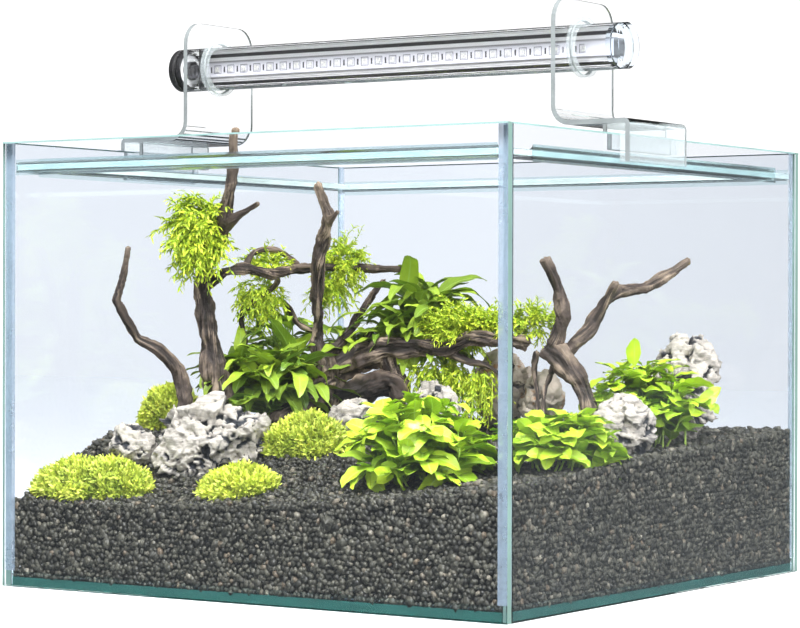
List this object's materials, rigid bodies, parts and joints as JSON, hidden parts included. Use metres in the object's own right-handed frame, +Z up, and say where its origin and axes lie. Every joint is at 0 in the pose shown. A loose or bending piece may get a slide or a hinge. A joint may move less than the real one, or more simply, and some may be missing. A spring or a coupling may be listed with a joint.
{
  "type": "aquarium with clip-on lamp",
  "caption": "Rimless glass aquarium with glass brace strips, gravel, stones, driftwood and plants, and a clear tube lamp on two clip-on holders.",
  "frame": {"origin": "middle of the underside of the tank", "axes": "+X along the front pane to the right, +Y to the back, +Z up"},
  "size_m": [0.622, 0.6, 0.586],
  "materials": {
    "glass": "clear float glass, polished arrises",
    "silicone": "clear silicone bead",
    "acrylic": "clear cast sheet and tube, polished",
    "soft_clear": "soft clear moulding",
    "gravel": "dark rounded pebbles",
    "grey_rock": "pale grey stone, rough",
    "brown_rock": "brown stone, rough",
    "driftwood": "dark weathered driftwood",
    "moss": "soft living moss",
    "leaf": "soft living leaves",
    "reflector": "mirror bright",
    "board": "white circuit board",
    "black_plastic": "black moulding",
    "black_rubber": "black seal ring"
  },
  "bodies": {
    "tank": {"bottom_pane": "glass", "front_pane": "glass", "back_pane": "glass", "left_pane": "glass", "right_pane": "glass", "front_brace": "glass", "back_brace": "glass", "left_brace": "glass", "right_brace": "glass", "floor_seal": "silicone", "corner_seal_front_left": "silicone", "corner_seal_front_right": "silicone", "corner_seal_back_left": "silicone", "corner_seal_back_right": "silicone", "front_brace_seal": "silicone", "back_brace_seal": "silicone", "left_brace_seal": "silicone", "right_brace_seal": "silicone", "gravel_bed": "gravel", "rock_left_large": "grey_rock", "rock_left_small": "grey_rock", "rock_centre": "grey_rock", "rock_middle": "grey_rock", "rock_right": "grey_rock", "rock_back_slab": "grey_rock", "brown_stone_left": "brown_rock", "brown_stone_right": "brown_rock", "left_twig": "driftwood", "left_trunk": "driftwood", "centre_trunk": "driftwood", "long_branch": "driftwood", "right_root": "driftwood", "moss_back_left": "moss", "moss_front_left": "moss", "moss_front_middle": "moss", "moss_centre": "moss", "moss_left_trunk": "moss", "moss_long_branch": "moss", "moss_centre_trunk": "moss", "leaves_front_right": "leaf", "leaves_corner_right": "leaf", "leaves_back_right": "leaf", "leaves_long_centre": "leaf", "leaves_middle_left": "leaf"},
    "liner_left": {"saddle_liner_left": "soft_clear"},
    "holder_left": {"holder_left": "acrylic", "inner_lip_left": "acrylic", "tube_bush_left": "soft_clear"},
    "liner_right": {"saddle_liner_right": "soft_clear"},
    "holder_right": {"holder_right": "acrylic", "inner_lip_right": "acrylic", "tube_bush_right": "soft_clear"},
    "lamp": {"lamp_tube": "acrylic", "lamp_reflector": "reflector", "led_board": "board", "reflector_bulkhead": "black_plastic", "end_cap_left": "black_plastic", "cap_gasket_left": "black_rubber", "power_inlet": "black_plastic", "end_cap_right": "acrylic"}
  },
  "joints": [
    {"name": "liner_left_slide", "type": "slide", "parent": "tank", "child": "liner_left", "axis": [0, 1, 0], "range_m": [-0.19, 0.26]},
    {"name": "holder_left_lift", "type": "slide", "parent": "liner_left", "child": "holder_left", "axis": [0, 0, 1], "range_m": [0, 0.08]},
    {"name": "lamp_turn", "type": "hinge", "parent": "holder_left", "child": "lamp", "pos_m": [0, -0.037, 0.54], "axis": [1, 0, 0], "range_deg": [-90, 90]},
    {"name": "liner_right_slide", "type": "slide", "parent": "tank", "child": "liner_right", "axis": [0, 1, 0], "range_m": [-0.19, 0.26]},
    {"name": "holder_right_lift", "type": "slide", "parent": "liner_right", "child": "holder_right", "axis": [0, 0, 1], "range_m": [0, 0.08]}
  ],
  "couplings": [
    {"joint": "liner_right_slide", "follows": "liner_left_slide", "ratio": 1},
    {"joint": "holder_right_lift", "follows": "holder_left_lift", "ratio": 1}
  ]
}
